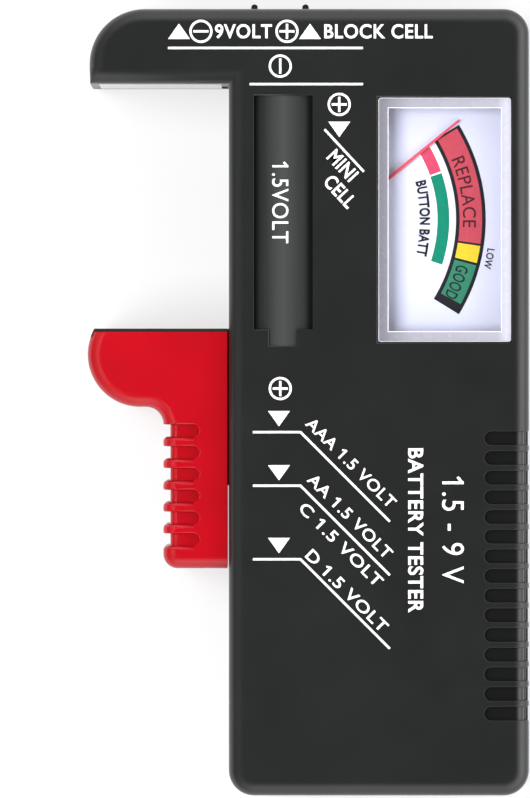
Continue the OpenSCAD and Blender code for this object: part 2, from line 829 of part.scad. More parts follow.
// Flat spiral that brings the pointer back
module hairspring() {
    steps = 24;
    inner = 0.8;
    pitch = 0.8;
    band = 0.12;
    function spiral(i, side) = let (a = 360 * i / steps, r = inner + pitch * i / steps + side * band / 2)
        [r * cos(a), r * sin(a)];
    color([0.8, 0.7, 0.4])
    at_pivot() translate([0, 0, hair_z]) {
        linear_extrude(hair_t) polygon(concat(
            [for (i = [0:hair_turns * steps]) spiral(i, 1)],
            [for (i = [hair_turns * steps:-1:0]) spiral(i, -1)]
        ));
        difference() {
            cylinder(r = inner, h = hair_t);
            translate([0, 0, -cut]) cylinder(r = shaft_r, h = 3 * cut);
        }
    }
}

// ---- Circuit board ----

module circuit_board() {
    color([0.1, 0.35, 0.2])
    difference() {
        span([board_x0, board_y0, board_z], [board_x1, board_y1, board_z + board_t]);
        for (at = board_screw_at)
            translate([at[0], at[1], 0]) cylinder(r = board_screw_r + 0.2, h = case_t);
    }
}

module board_screws() {
    color("silver")
    for (at = board_screw_at)
        translate([at[0], at[1], board_z]) screw(board_screw_r, 6.8, 1.9, 1.3);
}

// Resistor under the board, its two leads bent up to their pads
module resistor(y, shade) {
    z = board_z - resistor_r - 0.3;
    color(shade)
    translate([resistor_x, y, z]) {
        rotate([0, 90, 0]) cylinder(r = resistor_r, h = resistor_l, center = true);
        rotate([0, 90, 0]) cylinder(r = 0.3, h = 2 * resistor_lead, center = true);
        for (side = [-1, 1])
            translate([side * resistor_lead, 0, 0]) {
                sphere(0.3);
                cylinder(r = 0.3, h = board_z - z);
            }
    }
}

module resistor_small_cells() {
    resistor(resistor_y[0], [0.78, 0.66, 0.48]);
}

module resistor_round_cells() {
    resistor(resistor_y[1], [0.45, 0.6, 0.72]);
}

module resistor_nine_volt() {
    resistor(resistor_y[2], [0.78, 0.66, 0.48]);
}

// ---- Wires ----

module wire(route, shade) {
    color(shade) sweep(smooth(route, 4), wire_r, 8, [0.9, 0.1, 0.2]);
}

module wire_arm_contact() {
    wire(route_arm_contact, [0.1, 0.1, 0.1]);
}

module wire_nine_volt_negative() {
    wire(route_nine_volt_negative, [0.1, 0.1, 0.1]);
}

module wire_nine_volt_positive() {
    wire(route_nine_volt_positive, [0.75, 0.1, 0.1]);
}

module wire_contact_rail() {
    wire(route_contact_rail, [0.75, 0.1, 0.1]);
}

module wire_meter_positive() {
    wire(route_meter_positive, [0.85, 0.75, 0.15]);
}

module wire_meter_negative() {
    wire(route_meter_negative, [0.1, 0.3, 0.65]);
}

front_cover();
rear_cover();
case_screws();
arm_contact();
nine_volt_contact_negative();
nine_volt_contact_positive();
slider_grip();
slider_contact_plate();
slider_wiper();
contact_rail();
slider_spring();
meter_case();
meter_cover();
meter_screws();
meter_terminals();
dial_plate();
yoke_ring();
core_magnet();
lower_bearing();
bearing_bridge();
bridge_bearing();
moving_coil();
coil_former();
coil_pivots();
pointer();
hairspring();
circuit_board();
board_screws();
resistor_small_cells();
resistor_round_cells();
resistor_nine_volt();
wire_arm_contact();
wire_nine_volt_negative();
wire_nine_volt_positive();
wire_contact_rail();
wire_meter_positive();
wire_meter_negative();
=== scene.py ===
"""Looks of a pocket battery tester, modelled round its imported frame.

The tester lies on its back: +Z comes out of its face and +Y points to its arm. All lengths are
metres, and the values below that are given in millimetres are multiplied by MM where they are used.
"""

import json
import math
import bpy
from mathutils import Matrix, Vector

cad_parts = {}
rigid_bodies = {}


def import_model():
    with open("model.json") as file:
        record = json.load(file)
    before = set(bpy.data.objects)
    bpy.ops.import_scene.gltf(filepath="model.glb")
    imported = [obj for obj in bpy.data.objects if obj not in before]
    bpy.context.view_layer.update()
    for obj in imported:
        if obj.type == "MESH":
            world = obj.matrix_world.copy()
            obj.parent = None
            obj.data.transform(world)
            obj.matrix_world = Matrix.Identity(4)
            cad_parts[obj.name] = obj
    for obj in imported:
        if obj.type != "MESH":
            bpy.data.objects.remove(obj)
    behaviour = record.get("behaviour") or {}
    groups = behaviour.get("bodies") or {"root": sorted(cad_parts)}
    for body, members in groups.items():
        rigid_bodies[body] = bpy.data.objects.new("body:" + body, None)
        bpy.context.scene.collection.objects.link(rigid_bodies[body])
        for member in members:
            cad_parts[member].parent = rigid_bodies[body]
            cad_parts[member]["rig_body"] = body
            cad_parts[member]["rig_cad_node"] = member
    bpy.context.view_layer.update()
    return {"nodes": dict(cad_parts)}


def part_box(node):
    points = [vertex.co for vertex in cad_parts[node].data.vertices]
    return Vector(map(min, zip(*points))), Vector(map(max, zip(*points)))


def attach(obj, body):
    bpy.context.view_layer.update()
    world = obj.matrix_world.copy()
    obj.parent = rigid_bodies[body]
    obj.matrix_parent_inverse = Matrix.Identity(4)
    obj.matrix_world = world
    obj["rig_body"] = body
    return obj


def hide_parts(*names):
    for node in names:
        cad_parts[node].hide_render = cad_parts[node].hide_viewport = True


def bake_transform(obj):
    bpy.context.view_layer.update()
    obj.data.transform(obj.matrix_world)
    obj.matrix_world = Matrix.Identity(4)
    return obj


bl_info = {
    "name": "Battery Tester",
    "version": (1, 0, 0),
    "blender": (4, 5, 0),
    "location": "View3D > Sidebar > Tester",
    "description": "Models the covers, jaw, meter, printing and finishes of a pocket battery tester",
    "category": "Object",
}

import bmesh
import bpy
from bpy.props import FloatProperty, FloatVectorProperty, PointerProperty
from mathutils import Vector

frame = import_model()
NODES = frame["nodes"]
MM = 0.001
X, Y, Z = Vector((1, 0, 0)), Vector((0, 1, 0)), Vector((0, 0, 1))

# Clearance that keeps a modelled outside within the frame's
GAP = 0.02 * MM

# Places that several pieces share, taken from the frame
CASE_LOW, CASE_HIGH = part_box("front_cover")[0].copy(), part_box("front_cover")[1].copy()
CASE_LOW.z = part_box("rear_cover")[0].z
FACE_Z = CASE_HIGH.z
SPLIT_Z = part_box("rear_cover")[1].z
ARM_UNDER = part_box("arm_contact")[0].y
ARM_TIP = CASE_LOW.x
PLATE_LOW, PLATE_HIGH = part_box("slider_contact_plate")
JAW_LOW, JAW_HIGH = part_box("slider_grip")
GLASS_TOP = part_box("meter_cover")[1].z
DIAL_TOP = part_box("dial_plate")[1].z
PIVOT = (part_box("core_magnet")[0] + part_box("core_magnet")[1]) / 2

# Left side of the case, from the reach of the jaw beyond it
JAW_REACH = 19.6 * MM
CASE_LEFT = JAW_LOW.x + JAW_REACH

# Inner ends of the grooves in the right side of the case
GRIP_LENGTH = 6.2 * MM
GRIP_INNER = CASE_HIGH.x - GRIP_LENGTH

# Outline of a cell sunk in the face
CELL_LOW, CELL_HIGH = Vector((-7.5 * MM, 7.35 * MM, 0)), Vector((0.6 * MM, 41.95 * MM, 0))

# Centre of the dial's scales, beside the pivot
SCALE_OFFSET = 4.64 * MM
SCALE_CENTRE = Vector((PIVOT.x - SCALE_OFFSET, PIVOT.y, DIAL_TOP))


# ---- Settings that a user would change ----

class CaseSettings(bpy.types.PropertyGroup):
    skin: FloatProperty(
        name="Ink depth", description="Depth of the print that stands on the face",
        default=0.03 * MM, unit="LENGTH", precision=5)
    edge: FloatProperty(
        name="Edge radius", description="Rounding of the edges round the face and the back",
        default=2.1 * MM, unit="LENGTH")
    corner: FloatProperty(
        name="Corner radius", description="Radius of the case's corners, seen from the front",
        default=3.5 * MM, unit="LENGTH")
    shoulder: FloatProperty(
        name="Shoulder radius", description="Radius of the arm's outer shoulder",
        default=8 * MM, unit="LENGTH")
    lip: FloatProperty(
        name="Lip radius", description="Small rounding on the edges of the cut-outs",
        default=0.16 * MM, unit="LENGTH", precision=5)
    colour: FloatVectorProperty(
        name="Case colour", description="Colour of the moulded case",
        default=(0.0082, 0.0090, 0.0086), subtype="COLOR", min=0, max=1)


class JawSettings(bpy.types.PropertyGroup):
    edge: FloatProperty(
        name="Edge radius", description="Rounding of the jaw's edges",
        default=1.8 * MM, unit="LENGTH")
    head: FloatProperty(
        name="Head radius", description="Radius of the jaw's nose",
        default=7.3 * MM, unit="LENGTH")
    drop: FloatProperty(
        name="Nose drop", description="How far the middle of the nose lies below the contact strip",
        default=3.1 * MM, unit="LENGTH")
    stem: FloatProperty(
        name="Grip width", description="Width of the thumb grip",
        default=8.9 * MM, unit="LENGTH")
    hollow: FloatProperty(
        name="Hollow radius", description="Radius of the curve between the grip and the nose",
        default=2.4 * MM, unit="LENGTH")
    foot: FloatProperty(
        name="Foot radius", description="Radius of the grip's lower corner",
        default=2.0 * MM, unit="LENGTH")
    lip: FloatProperty(
        name="Lip radius", description="Small rounding on the edges of the grooves",
        default=0.22 * MM, unit="LENGTH", precision=5)
    slope: FloatProperty(
        name="Groove slope", description="Rounding along the lower side of each thumb groove",
        default=0.6 * MM, unit="LENGTH", precision=5)
    strip_lip: FloatProperty(
        name="Strip edge", description="Rounding of the edges of the contact strips",
        default=0.05 * MM, unit="LENGTH", precision=5)
    colour: FloatVectorProperty(
        name="Jaw colour", description="Colour of the sliding jaw",
        default=(0.31, 0.0002, 0.005), subtype="COLOR", min=0, max=1)


class MeterSettings(bpy.types.PropertyGroup):
    card: FloatVectorProperty(
        name="Card colour", description="Colour of the dial",
        default=(0.62, 0.64, 0.76), subtype="COLOR", min=0, max=1)
    band_inner: FloatProperty(
        name="Band inner radius", description="Inner radius of the main scale",
        default=20.98 * MM, unit="LENGTH")
    band_outer: FloatProperty(
        name="Band outer radius", description="Outer radius of the main scale",
        default=25.1 * MM, unit="LENGTH")
    rim: FloatVectorProperty(
        name="Rim colour", description="Colour of the rim of the meter's clear cover",
        default=(0.31, 0.305, 0.355), subtype="COLOR", min=0, max=1)
    rim_width: FloatProperty(
        name="Rim width", description="Width of the rim of the meter's clear cover",
        default=1.25 * MM, unit="LENGTH")
    haze: FloatProperty(
        name="Haze", description="Part of the light that the clear cover scatters",
        default=0.002, min=0, max=1)
    lens_edge: FloatProperty(
        name="Lens edge", description="Rounding of the top edge of the meter's clear cover",
        default=0.11 * MM, unit="LENGTH", precision=5)
    red: FloatVectorProperty(
        name="Replace zone", description="Colour of the zone for spent cells",
        default=(0.46, 0.062, 0.085), subtype="COLOR", min=0, max=1)
    yellow: FloatVectorProperty(
        name="Low zone", description="Colour of the zone for weak cells",
        default=(0.68, 0.5, 0.03), subtype="COLOR", min=0, max=1)
    green: FloatVectorProperty(
        name="Good zone", description="Colour of the zone for good cells",
        default=(0.03, 0.19, 0.11), subtype="COLOR", min=0, max=1)
    button_red: FloatVectorProperty(
        name="Button cell red", description="Red of the scale for button cells",
        default=(0.55, 0.06, 0.12), subtype="COLOR", min=0, max=1)
    button_green: FloatVectorProperty(
        name="Button cell green", description="Green of the scale for button cells",
        default=(0.004, 0.2, 0.12), subtype="COLOR", min=0, max=1)
    button_inner: FloatProperty(
        name="Button scale inner radius", description="Inner radius of the scale for button cells",
        default=18.4 * MM, unit="LENGTH")
    button_outer: FloatProperty(
        name="Button scale outer radius", description="Outer radius of the scale for button cells",
        default=20.05 * MM, unit="LENGTH")


class PrintSettings(bpy.types.PropertyGroup):
    line: FloatProperty(
        name="Line width", description="Width of the printed lines",
        default=0.32 * MM, unit="LENGTH", precision=5)
    sign: FloatProperty(
        name="Sign radius", description="Outer radius of the ringed signs",
        default=1.6 * MM, unit="LENGTH")
    capital: FloatProperty(
        name="Capital height", description="Height of the capitals in most of the lettering",
        default=2.0 * MM, unit="LENGTH")
    white: FloatVectorProperty(
        name="Ink colour", description="Colour of the printing on the face",
        default=(0.72, 0.72, 0.72), subtype="COLOR", min=0, max=1)


class StageSettings(bpy.types.PropertyGroup):
    focal: FloatProperty(
        name="Focal length", description="Focal length of the camera, in millimetres",
        default=400, min=50, max=800)
    frame_height: FloatProperty(
        name="Frame height", description="Height of the face that the picture takes in",
        default=110.36 * MM, unit="LENGTH")
    sky: FloatProperty(
        name="Sky", description="Strength of the light tent, which is dark straight above",
        default=1.5, min=0)
    glow: FloatProperty(
        name="Floor glow", description="Light that the pale floor gives off, which keeps shadows faint",
        default=0.55, min=0)
    light: FloatProperty(
        name="Softbox strength", description="Factor on the power of all the softboxes",
        default=0.25, min=0)
    light_reach: FloatProperty(
        name="Softbox distance", description="Distance of the softboxes from the tester",
        default=0.8, unit="LENGTH")
    aim_x: FloatProperty(
        name="Aim", description="Place across the case that the camera looks at",
        default=-5.97 * MM, unit="LENGTH")


# ---- Modelling helpers ----

def deselect():
    if bpy.context.object and bpy.context.object.mode != "OBJECT":
        bpy.ops.object.mode_set(mode="OBJECT")
    bpy.ops.object.select_all(action="DESELECT")


def activate(piece):
    deselect()
    piece.select_set(True)
    bpy.context.view_layer.objects.active = piece
    return piece


def settle(piece, name):
    """Applies the object's transform, so that its place is in its mesh."""
    activate(piece)
    bpy.ops.object.transform_apply(location=True, rotation=True, scale=True)
    piece.name = name
    piece.data.name = name
    return piece


def block(name, low, high):
    low, high = Vector(low), Vector(high)
    deselect()
    bpy.ops.mesh.primitive_cube_add(size=1, location=(low + high) / 2, scale=high - low)
    return settle(bpy.context.object, name)


def rod(name, foot, length, radius, axis=Z, sides=64):
    deselect()
    bpy.ops.mesh.primitive_cylinder_add(
        vertices=sides, radius=radius, depth=length, location=Vector(foot) + axis * length / 2,
        rotation=Z.rotation_difference(axis).to_euler())
    return settle(bpy.context.object, name)


def modify(piece, kind, **settings):
    """Adds a modifier and applies it."""
    activate(piece)
    modifier = piece.modifiers.new(kind.title(), kind)
    for key, value in settings.items():
        setattr(modifier, key, value)
    bpy.ops.object.modifier_apply(modifier=modifier.name)
    return piece


def combine(piece, other, how):
    """Boolean with a second piece, which is used up."""
    modify(piece, "BOOLEAN", operation=how, solver="EXACT", object=other)
    bpy.data.objects.remove(other)
    return piece


def join(name, pieces):
    deselect()
    for piece in pieces:
        piece.select_set(True)
    bpy.context.view_layer.objects.active = pieces[0]
    bpy.ops.object.join()
    return settle(bpy.context.object, name)


def select_edges(piece, wanted):
    """Enters edit mode with just the edges that wanted(edge) picks."""
    activate(piece)
    bpy.context.tool_settings.mesh_select_mode = (False, True, False)
    bpy.ops.object.mode_set(mode="EDIT")
    mesh = bmesh.from_edit_mesh(piece.data)
    bpy.ops.mesh.select_all(action="DESELECT")
    for edge in mesh.edges:
        edge.select_set(wanted(edge))
    mesh.select_flush_mode()
    bmesh.update_edit_mesh(piece.data)


def select_faces(piece, wanted):
    """Enters edit mode with just the faces that wanted(face) picks."""
    activate(piece)
    bpy.context.tool_settings.mesh_select_mode = (False, False, True)
    bpy.ops.object.mode_set(mode="EDIT")
    mesh = bmesh.from_edit_mesh(piece.data)
    bpy.ops.mesh.select_all(action="DESELECT")
    for face in mesh.faces:
        face.select_set(wanted(face))
    bmesh.update_edit_mesh(piece.data)


def done():
    """Leaves edit mode."""
    bpy.ops.object.mode_set(mode="OBJECT")


def bevel(piece, wanted, width, segments):
    """Rounds the edges that wanted(edge) picks."""
    select_edges(piece, wanted)
    bpy.ops.mesh.bevel(offset=width, segments=segments, affect="EDGES", clamp_overlap=False)
    done()
    return piece


def clean(piece, flat=0.4, outwards=False):
    """Merges doubles and joins flat faces into one; outwards turns the faces of a new piece."""
    activate(piece)
    bpy.ops.object.mode_set(mode="EDIT")
    bpy.ops.mesh.select_all(action="SELECT")
    bpy.ops.mesh.remove_doubles(threshold=0.002 * MM)
    bpy.ops.mesh.dissolve_limited(angle_limit=math.radians(flat))
    if outwards:
        bpy.ops.mesh.normals_make_consistent(inside=False)
    done()
    return piece


def smooth(piece, angle):
    """Smooth shading, with sharp corners kept and flat faces left flat."""
    activate(piece)
    bpy.ops.object.shade_smooth_by_angle(angle=math.radians(angle))
    return modify(piece, "WEIGHTED_NORMAL", keep_sharp=True, mode="FACE_AREA", weight=80)


def copy_of(node):
    """A free copy of a frame node's mesh, merged and with its flat faces whole."""
    activate(NODES[node])
    bpy.ops.object.duplicate()
    piece = bpy.context.object
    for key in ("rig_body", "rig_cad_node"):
        del piece[key]
    bpy.ops.object.parent_clear(type="CLEAR_KEEP_TRANSFORM")
    piece.data.materials.clear()
    return clean(piece)


def upright(edge):
    """True on an edge of some length that runs along Z."""
    a, b = edge.verts
    return abs(a.co.x - b.co.x) + abs(a.co.y - b.co.y) < 0.01 * MM and abs(a.co.z - b.co.z) > MM


def level_at(edge, z):
    """True on an edge that lies at height z."""
    return all(near(v.co.z, z, 0.01 * MM) for v in edge.verts)


def near(a, b, reach=0.05 * MM):
    return abs(a - b) < reach


def sharp_rim(edge, angle=40):
    """True on an outward edge that turns by more than an angle."""
    return len(edge.link_faces) == 2 and edge.calc_face_angle_signed(0) > math.radians(angle)


def finish_piece(piece, name, body, slot, *nodes):
    """Names a piece, attaches it to its body and hides the frame nodes that it stands for; the slot
    argument is not used.
    """
    piece.name = name
    piece.data.name = name
    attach(piece, body)
    if nodes:
        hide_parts(*nodes)
    return piece


# ---- Materials ----

class Shader:
    """A node tree built one node at a time."""

    def __init__(self, name):
        self.material = bpy.data.materials.new(name)
        self.material.use_nodes = True
        self.nodes = self.material.node_tree.nodes
        self.links = self.material.node_tree.links
        self.surface = self.nodes["Principled BSDF"]
        self.place = self.nodes.new("ShaderNodeTexCoord").outputs["Object"]

    def add(self, kind, inputs, **settings):
        node = self.nodes.new("ShaderNode" + kind)
        for key, value in settings.items():
            setattr(node, key, value)
        for key, value in inputs.items():
            self.put(node, key, value)
        return node

    def put(self, node, key, value):
        """Links a socket to an input, or sets the input's own value."""
        if isinstance(value, bpy.types.NodeSocket):
            self.links.new(value, node.inputs[key])
        else:
            node.inputs[key].default_value = value

    def set(self, **values):
        """Fills inputs of the surface, with _ for the space in their names."""
        for key, value in values.items():
            self.put(self.surface, key.replace("_", " "), value)

    def noise(self, scale, detail, rough=0.5, stretch=None):
        """Noise in object coordinates, which stretch scales along each axis."""
        place = self.place
        if stretch:
            place = self.add("Mapping", {"Vector": place, "Scale": stretch}).outputs[0]
        return self.add("TexNoise", {
            "Vector": place, "Scale": scale, "Detail": detail, "Roughness": rough}).outputs["Fac"]

    def ramp(self, factor, stops):
        """Colour ramp through (position, colour) stops."""
        node = self.add("ValToRGB", {"Fac": factor})
        ends = node.color_ramp.elements
        while len(ends) < len(stops):
            ends.new(0.5)
        for end, (place, colour) in zip(ends, stops):
            end.position = place
            end.color = colour if len(colour) == 4 else (*colour, 1)
        return node.outputs["Color"]

    def range(self, factor, low, high):
        return self.add("MapRange", {"Value": factor, "To Min": low, "To Max": high}).outputs["Result"]

    def bump(self, height, depth, strength):
        inputs = {"Height": height, "Distance": depth, "Strength": strength}
        return self.add("Bump", inputs).outputs["Normal"]


def tinted(colour, by):
    """A colour made darker or lighter by a factor."""
    return tuple(max(0.0, min(1.0, c * by)) for c in colour)


def moulded_plastic(name, colour, rough, gloss=0.5):
    """Plastic with a fine spark texture, faint clouding and patches that differ in gloss."""
    s = Shader(name)
    s.set(Base_Color=s.ramp(s.noise(60, 3), [(0.3, tinted(colour, 0.9)), (0.7, tinted(colour, 1.12))]))
    s.set(Roughness=s.range(s.noise(220, 4, 0.6), rough - 0.06, rough + 0.07))
    s.set(Normal=s.bump(s.noise(5200, 2, 0.6), 0.006 * MM, 0.6))
    s.surface.inputs["Specular IOR Level"].default_value = gloss
    return s.material


def polished_plastic(name, colour):
    """Glossy coloured moulding with a soft ripple."""
    s = Shader(name)
    s.set(Base_Color=s.ramp(s.noise(90, 2), [(0.3, tinted(colour, 0.94)), (0.7, tinted(colour, 1.06))]))
    s.set(Roughness=s.range(s.noise(500, 3), 0.2, 0.27))
    s.set(Normal=s.bump(s.noise(160, 2), 0.02 * MM, 0.2))
    s.surface.inputs["Specular IOR Level"].default_value = 0.45
    return s.material


def metal(name, colour, rough, brush=(1, 1, 1)):
    """Bare or plated metal with brush marks along one direction and cloudy tarnish."""
    s = Shader(name)
    marks = s.noise(1500, 3, 0.6, brush)
    s.set(Base_Color=s.ramp(s.noise(140, 3), [(0.3, tinted(colour, 0.85)), (0.75, colour)]))
    s.set(Roughness=s.range(marks, rough - 0.07, rough + 0.1))
    s.set(Normal=s.bump(marks, 0.004 * MM, 0.5))
    s.surface.inputs["Metallic"].default_value = 1
    return s.material


def ink(name, colour, rough=0.5, speckle=0.06):
    """Screen-printed ink or paint with a faint speckle."""
    s = Shader(name)
    s.set(Base_Color=s.ramp(s.noise(2500, 2), [
        (0.3, tinted(colour, 1 - speckle)), (0.7, tinted(colour, 1 + speckle))]))
    s.set(Roughness=s.range(s.noise(900, 2), rough - 0.05, rough + 0.08))
    s.set(Normal=s.bump(s.noise(4000, 1), 0.003 * MM, 0.3))
    s.surface.inputs["Specular IOR Level"].default_value = 0.15
    return s.material


def clear_plastic(name, body):
    """Clear moulding: mostly seen through, with a hazy body and a bright skin at a slant."""
    s = Shader(name)
    haze = (0.80, 0.81, 0.88)
    least, most = 0.017, 0.7
    through = s.add("BsdfTransparent", {"Color": (0.97, 0.97, 0.985, 1)})
    rough = s.range(s.noise(700, 3), 0.05, 0.09)
    skin = s.add("BsdfGlossy", {"Color": (1, 1, 1, 1), "Roughness": rough})
    cloudy = s.add("BsdfDiffuse", {"Color": s.ramp(s.noise(90, 2), [
        (0.3, tinted(haze, 0.94)), (0.7, haze)])})
    inside = s.add("MixShader", {0: body, 1: through.outputs[0], 2: cloudy.outputs[0]})
    turned = s.add("LayerWeight", {"Blend": 0.5}).outputs["Facing"]
    slant = s.range(s.add("Math", {0: turned, 1: 5}, operation="POWER").outputs[0], least, most)
    mix = s.add("MixShader", {0: slant, 1: inside.outputs[0], 2: skin.outputs[0]})
    s.links.new(mix.outputs[0], s.nodes["Material Output"].inputs["Surface"])
    s.nodes.remove(s.surface)
    return s.material


def shaded_lens_rim(name, colour, low, high):
    """Frosted wall of the clear cover from low to high along X, with painted shade on the side towards the
    jaw and a painted highlight at the far side.
    """
    s = Shader(name)
    across = s.add("SeparateXYZ", {"Vector": s.place}).outputs["X"]
    shade = s.add("MapRange", {
        "Value": across, "From Min": low, "From Max": high}).outputs["Result"]
    # Painted shade darkens the rim towards the jaw, and a painted highlight lightens its far side
    s.set(Base_Color=s.ramp(shade, [(0.03, tinted(colour, 0.5)), (0.08, tinted(colour, 0.62)),
                                    (0.25, tinted(colour, 0.9)), (0.9, tinted(colour, 1.0)),
                                    (0.96, tinted(colour, 1.4))]))
    s.set(Roughness=s.range(s.noise(400, 2), 0.22, 0.32))
    s.set(Normal=s.bump(s.noise(300, 2), 0.004 * MM, 0.3))
    return s.material


def wear(piece, material):
    """Gives a piece one material."""
    piece.data.materials.clear()
    piece.data.materials.append(material)
    return piece


def crest_highlight_plastic(name, colour, crest, half_width):
    """The case's plastic on the crowned floor of the cell outline, with a painted highlight along its crest
    that fades to painted shade at its sides.
    """
    s = Shader(name)
    across = s.add("SeparateXYZ", {"Vector": s.place}).outputs["X"]
    away = s.add("Math", {0: across, 1: crest}, operation="SUBTRACT").outputs[0]
    share = s.add("Math", {0: away, 1: half_width}, operation="DIVIDE").outputs[0]
    near_crest = s.add("Math", {0: share}, operation="ABSOLUTE").outputs[0]
    streaks = s.range(s.noise(900, 3, 0.6, (1, 0.04, 1)), -0.07, 0.07)
    highlight_fade = s.add("Math", {0: near_crest, 1: streaks}, operation="ADD").outputs[0]
    # Painted highlight: several times lighter at the crest, and a little darker than the case at the sides
    s.set(Base_Color=s.ramp(highlight_fade, [(0.0, tinted(colour, 4.4)), (0.3, tinted(colour, 3.2)),
                                   (0.62, tinted(colour, 1.7)), (0.95, tinted(colour, 0.8))]))
    s.set(Roughness=s.range(s.noise(220, 4, 0.6), 0.46, 0.54))
    s.set(Normal=s.bump(s.noise(5200, 2, 0.6), 0.005 * MM, 0.5))
    s.surface.inputs["Specular IOR Level"].default_value = 0.2
    return s.material


# ---- Case ----

def case_outside(settings):
    """Solid of the whole case and arm, with the edges round its face and back, its shoulder and most of its
    corners rounded.
    """
    low = Vector((CASE_LEFT + GAP, CASE_LOW.y + GAP, CASE_LOW.z + GAP / 2))
    high = CASE_HIGH - Vector((GAP, GAP, settings.skin))
    tip, arm_draft = ARM_TIP + GAP, 0.4 * MM
    solid = block("case_outside", low, high)
    select_faces(solid, lambda face: True)
    bpy.ops.mesh.bisect(plane_co=(0, ARM_UNDER + GAP, 0), plane_no=Y)
    done()
    select_faces(solid, lambda f: f.normal.x < -0.9 and f.calc_center_median().y > ARM_UNDER)
    bpy.ops.mesh.extrude_region_move(TRANSFORM_OT_translate={"value": (tip - low.x, 0, 0)})
    done()
    select_edges(solid, lambda e: upright(e) and near(e.verts[0].co.x, tip)
                 and e.verts[0].co.y < ARM_UNDER + MM)
    bpy.ops.transform.translate(value=(arm_draft, 0, 0))
    done()
    clean(solid)
    bevel(solid, lambda e: upright(e) and e.verts[0].co.x < ARM_TIP + MM and e.verts[0].co.y > high.y - MM,
          settings.shoulder, 26)
    bevel(solid, lambda e: upright(e) and e.verts[0].co.x > low.x - MM
          and (e.verts[0].co.y < low.y + MM or e.verts[0].co.x > high.x - MM), settings.corner, 14)
    back_share = 0.85
    for z, radius in ((high.z, settings.edge), (low.z, settings.edge * back_share)):
        bevel(solid, lambda e: level_at(e, z), radius, 9)
    return solid


def dress_cover(node, outside, settings, lip_zone):
    """A cover of the frame with finely rounded outside edges and softened cut-outs."""
    cover = copy_of(node)
    activate(outside)
    bpy.ops.object.duplicate()
    combine(cover, bpy.context.object, "INTERSECT")
    clean(cover, 0.05)
    bevel(cover, lambda e: sharp_rim(e) and lip_zone(e) and e.calc_length() > 0.05 * MM, settings.lip, 2)
    return smooth(cover, 30)


class TESTER_OT_case(bpy.types.Operator):
    """Model the two covers of the case"""
    bl_idname = "tester.case"
    bl_label = "Case covers"

    def execute(self, context):
        settings = context.scene.tester_case
        outside = case_outside(settings)
        cell_middle = (CELL_LOW + CELL_HIGH) / 2
        groove_reach = 0.9 * MM

        def at_grips(place):
            return place.x > GRIP_INNER and place.y < 0

        def on_front(edge):
            middle = (edge.verts[0].co + edge.verts[1].co) / 2
            return level_at(edge, FACE_Z - settings.skin) or (
                at_grips(middle) and middle.z > SPLIT_Z + MM
                and (middle.z > FACE_Z - MM or middle.x > CASE_HIGH.x - groove_reach))

        def on_back(edge):
            return level_at(edge, CASE_LOW.z + GAP / 2)

        def on_crown(face):
            middle = face.center
            return (CELL_LOW.x < middle.x < CELL_HIGH.x and CELL_LOW.y < middle.y < CELL_HIGH.y
                    and FACE_Z - 2 * MM < middle.z < FACE_Z - 0.15 * MM and face.normal.z > 0.5)

        def in_groove(face):
            depth = FACE_Z - face.center.z
            return at_grips(face.center) and face.normal.z > 0.9 and 0.5 * MM < depth < groove_reach

        plastic = moulded_plastic("black_abs", settings.colour, 0.32)
        front = dress_cover("front_cover", outside, settings, on_front)
        finish_piece(front, "front_shell", "housing", "black_plastic", "front_cover")
        wear(front, plastic)
        # Slot 1 paints a highlight along the crest of the cell outline's crown
        front.data.materials.append(crest_highlight_plastic(
            "crest_highlight_abs", settings.colour, cell_middle.x, cell_middle.x - CELL_LOW.x))
        # Painted shade: the groove floors take the case colour at under half its brightness, for the shade
        # inside the grooves
        front.data.materials.append(moulded_plastic(
            "groove_painted_shade_abs", tinted(settings.colour, 0.45), 0.32, gloss=0.4))
        for face in front.data.polygons:
            if on_crown(face):
                face.material_index = 1
            elif in_groove(face):
                face.material_index = 2
        rear = dress_cover("rear_cover", outside, settings, on_back)
        finish_piece(rear, "rear_shell", "housing", "black_plastic", "rear_cover")
        wear(rear, plastic)
        bpy.data.objects.remove(outside)
        return {"FINISHED"}


# ---- Sliding jaw ----

def jaw_outside(settings):
    """Solid of the jaw's outside, larger than the jaw on its inner side and its top."""
    low, high = JAW_LOW.z + GAP, JAW_HIGH.z - GAP
    thick = high - low
    strip_thickness, clearance = 0.5 * MM, 0.2 * MM
    top = PLATE_HIGH.y - strip_thickness
    right = CASE_LEFT - clearance
    inner = right + 4 * MM
    centre = Vector((JAW_LOW.x + settings.head, top - settings.drop, low - thick))
    under = centre.y - settings.head + GAP
    stem = right - settings.stem + GAP
    solid = rod("jaw_outside", centre, 3 * thick, settings.head - GAP, sides=160)
    combine(solid, block("slab", (centre.x, under, low - 2 * MM),
                         (inner, 2 * centre.y - under, high + 2 * MM)), "UNION")
    combine(solid, block("grip", (stem, JAW_LOW.y + GAP, low - MM), (inner, top, high + MM)), "UNION")
    for z, side in ((low, -1), (high, 1)):
        select_faces(solid, lambda face: True)
        bpy.ops.mesh.bisect(plane_co=(0, 0, z), plane_no=Z * side, use_fill=True, clear_outer=True)
        done()
    clean(solid, outwards=True)
    bevel(solid, lambda e: upright(e) and near(e.verts[0].co.x, stem) and near(e.verts[0].co.y, under),
          settings.hollow, 14)
    bevel(solid, lambda e: upright(e) and near(e.verts[0].co.x, stem) and e.verts[0].co.y < JAW_LOW.y + MM,
          settings.foot, 10)
    for z in (low, high):
        bevel(solid, lambda e: level_at(e, z) and not near(e.verts[0].co.x + e.verts[1].co.x, 2 * inner),
              settings.edge, 8)
    inside = block("inside", (right - MM, JAW_LOW.y, JAW_LOW.z + 0.1 * MM),
                   (JAW_HIGH.x + MM, PLATE_HIGH.y, JAW_HIGH.z - 2 * MM))
    return combine(solid, inside, "UNION")


